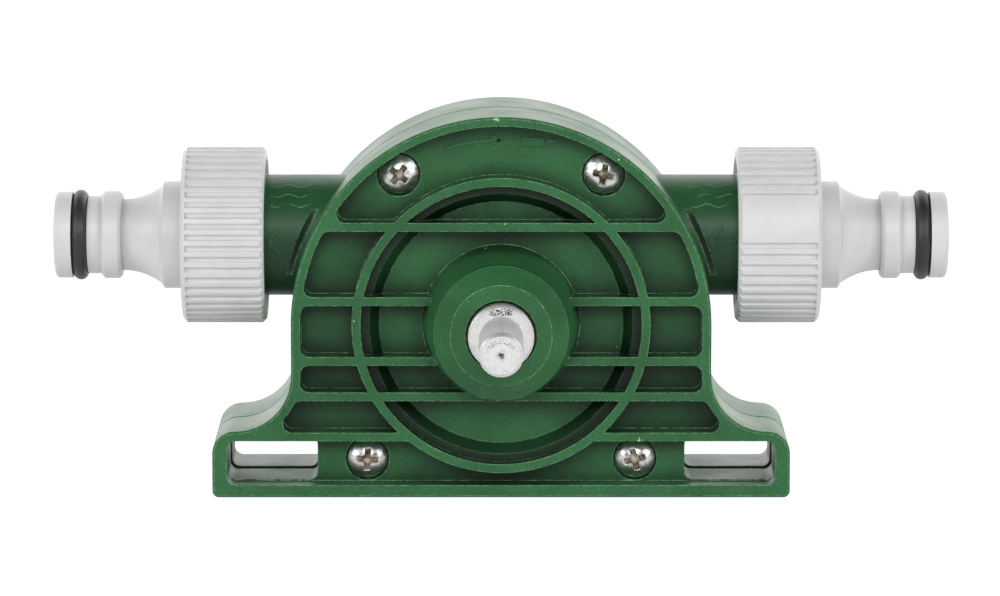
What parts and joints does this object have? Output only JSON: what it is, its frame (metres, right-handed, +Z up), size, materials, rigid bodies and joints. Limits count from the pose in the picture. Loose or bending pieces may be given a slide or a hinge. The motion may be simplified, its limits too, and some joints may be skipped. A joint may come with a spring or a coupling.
{
  "type": "drill-driven self-priming transfer pump",
  "caption": "Small arched plastic pump turned by a drill shank, with an inlet and an outlet tube that carry quick-coupling hose nipples on union nuts.",
  "frame": {"origin": "middle of the flat base, under the shaft axis, on the seam between the two housings", "axes": "+X to the inlet port, -Y towards the drill along the shaft, +Z up"},
  "size_m": [0.1652, 0.0638, 0.0706],
  "materials": {
    "housing_plastic": "satin moulded, dark green",
    "connector_plastic": "satin moulded, light grey",
    "white_plastic": "plain machined",
    "seal_rubber": "matt",
    "impeller_rubber": "matt moulded",
    "turned_steel": "bright turned",
    "zinc_steel": "zinc plated",
    "stainless_steel": "rolled",
    "spring_steel": "oiled dark",
    "bronze": "sintered"
  },
  "bodies": {
    "housing": {"front_housing": "housing_plastic", "rear_housing": "housing_plastic", "housing_gasket": "seal_rubber", "housing_screws": "zinc_steel", "cam_insert": "white_plastic", "front_wear_plate": "stainless_steel", "rear_wear_plate": "stainless_steel", "front_bush": "bronze", "rear_bush": "bronze", "shaft_seal": "seal_rubber", "seal_retainer": "stainless_steel"},
    "rotor": {"drive_shaft": "turned_steel", "drive_pin": "turned_steel", "impeller_core": "white_plastic", "impeller_vanes": "impeller_rubber", "shaft_clip": "spring_steel"},
    "inlet_nipple": {"inlet_hose_nipple": "connector_plastic", "inlet_nose_ring": "seal_rubber", "inlet_flat_washer": "seal_rubber"},
    "inlet_nut": {"inlet_union_nut": "connector_plastic"},
    "outlet_nipple": {"outlet_hose_nipple": "connector_plastic", "outlet_nose_ring": "seal_rubber", "outlet_flat_washer": "seal_rubber"},
    "outlet_nut": {"outlet_union_nut": "connector_plastic"}
  },
  "joints": [
    {"name": "shaft_spin", "type": "hinge", "parent": "housing", "child": "rotor", "pos_m": [0, 0, 0.032], "axis": [0, 1, 0], "continuous": true, "deforming": ["impeller_vanes"]},
    {"name": "inlet_nipple_slide", "type": "slide", "parent": "housing", "child": "inlet_nipple", "axis": [1, 0, 0], "range_m": [0, 0.0073]},
    {"name": "inlet_nut_turn", "type": "hinge", "parent": "inlet_nipple", "child": "inlet_nut", "pos_m": [0.051, 0, 0.0467], "axis": [1, 0, 0], "range_deg": [0, 1440]},
    {"name": "outlet_nipple_slide", "type": "slide", "parent": "housing", "child": "outlet_nipple", "axis": [-1, 0, 0], "range_m": [0, 0.0073]},
    {"name": "outlet_nut_turn", "type": "hinge", "parent": "outlet_nipple", "child": "outlet_nut", "pos_m": [-0.051, 0, 0.0467], "axis": [-1, 0, 0], "range_deg": [0, 1440]}
  ],
  "couplings": [
    {"joint": "inlet_nipple_slide", "follows": "inlet_nut_turn", "m_per_rad": 0.00028871},
    {"joint": "outlet_nipple_slide", "follows": "outlet_nut_turn", "m_per_rad": 0.00028871}
  ]
}
